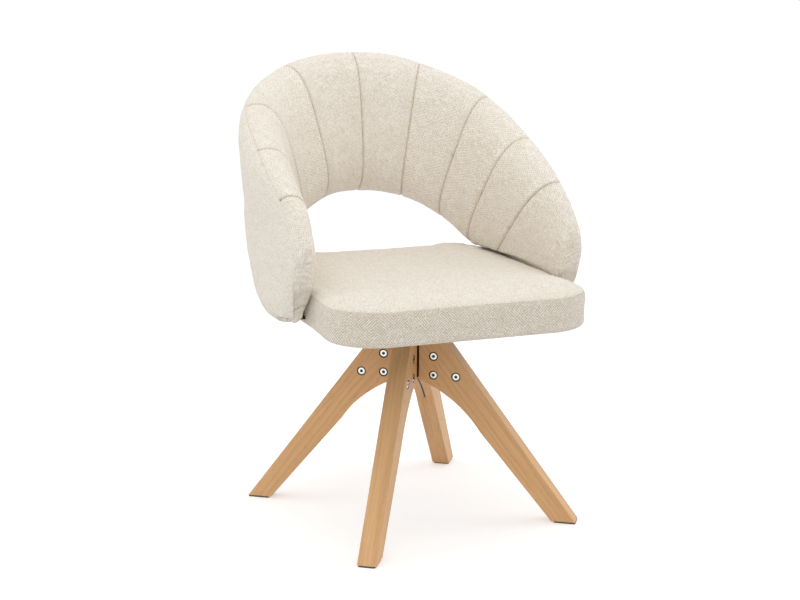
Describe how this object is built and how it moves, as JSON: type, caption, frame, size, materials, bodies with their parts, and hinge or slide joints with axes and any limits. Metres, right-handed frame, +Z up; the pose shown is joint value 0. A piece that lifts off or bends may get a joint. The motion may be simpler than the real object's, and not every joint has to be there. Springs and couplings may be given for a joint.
{
  "type": "swivel dining chair",
  "caption": "Upholstered dining chair with a boxed seat and a channelled hoop back, turning on splayed wooden legs.",
  "frame": {"origin": "on the swivel axis at the floor, which is the middle of the chair's footprint", "axes": "+Z up along the swivel axis, -Y the way the seat faces, +X to the sitter's left"},
  "size_m": [0.5844, 0.6634, 0.8509],
  "materials": {
    "oak": "satin clear-lacquered oak",
    "glide_plastic": "moulded, dark",
    "bright_nickel": "bright nickel plate",
    "zinc_steel": "zinc plate",
    "black_steel": "black powder coat",
    "boucle_fabric": "cream woven, chunky",
    "dust_cloth": "black non-woven",
    "foam": "open-cell foam",
    "plywood": "raw plywood",
    "nylon": "natural nylon"
  },
  "bodies": {
    "base": {"front_left_glide": "glide_plastic", "front_left_hub_fin": "black_steel", "front_left_leg": "oak", "front_right_glide": "glide_plastic", "front_right_hub_fin": "black_steel", "front_right_leg": "oak", "rear_left_glide": "glide_plastic", "rear_left_hub_fin": "black_steel", "rear_left_leg": "oak", "rear_right_glide": "glide_plastic", "rear_right_hub_fin": "black_steel", "rear_right_leg": "oak", "hub_tube": "black_steel", "hub_flange": "black_steel", "lower_swivel_plate": "black_steel", "leg_bolts": "bright_nickel", "leg_sleeve_nuts": "bright_nickel", "flange_screws": "zinc_steel", "flange_nuts": "zinc_steel", "lower_race": "black_steel", "pivot_bolt": "zinc_steel", "pivot_washer": "zinc_steel", "pivot_lock_nut": "zinc_steel"},
    "ball_race": {"ball_cage": "nylon", "race_balls": "zinc_steel"},
    "seat": {"back_arch_tube": "black_steel", "back_foam": "foam", "back_inner_cover": "boucle_fabric", "back_outer_cover": "boucle_fabric", "back_rim_tube": "black_steel", "back_struts": "black_steel", "bracket_bolts": "zinc_steel", "bracket_weld_nuts": "zinc_steel", "left_front_wing_bracket": "black_steel", "left_rear_wing_bracket": "black_steel", "left_wing_plate": "black_steel", "pivot_bush": "nylon", "right_front_wing_bracket": "black_steel", "right_rear_wing_bracket": "black_steel", "right_wing_plate": "black_steel", "seat_board": "plywood", "seat_cover": "boucle_fabric", "seat_dust_cover": "dust_cloth", "seat_foam": "foam", "seat_screws": "zinc_steel", "seat_tee_nuts": "zinc_steel", "upper_race": "black_steel", "upper_swivel_plate": "black_steel", "wing_rivets": "zinc_steel"}
  },
  "joints": [
    {"name": "seat_swivel", "type": "hinge", "parent": "base", "child": "seat", "pos_m": [0, 0, 0.386], "axis": [0, 0, 1], "continuous": true},
    {"name": "cage_turn", "type": "hinge", "parent": "base", "child": "ball_race", "pos_m": [0, 0, 0.386], "axis": [0, 0, 1], "continuous": true}
  ],
  "couplings": [
    {"joint": "cage_turn", "follows": "seat_swivel", "ratio": 0.5}
  ]
}
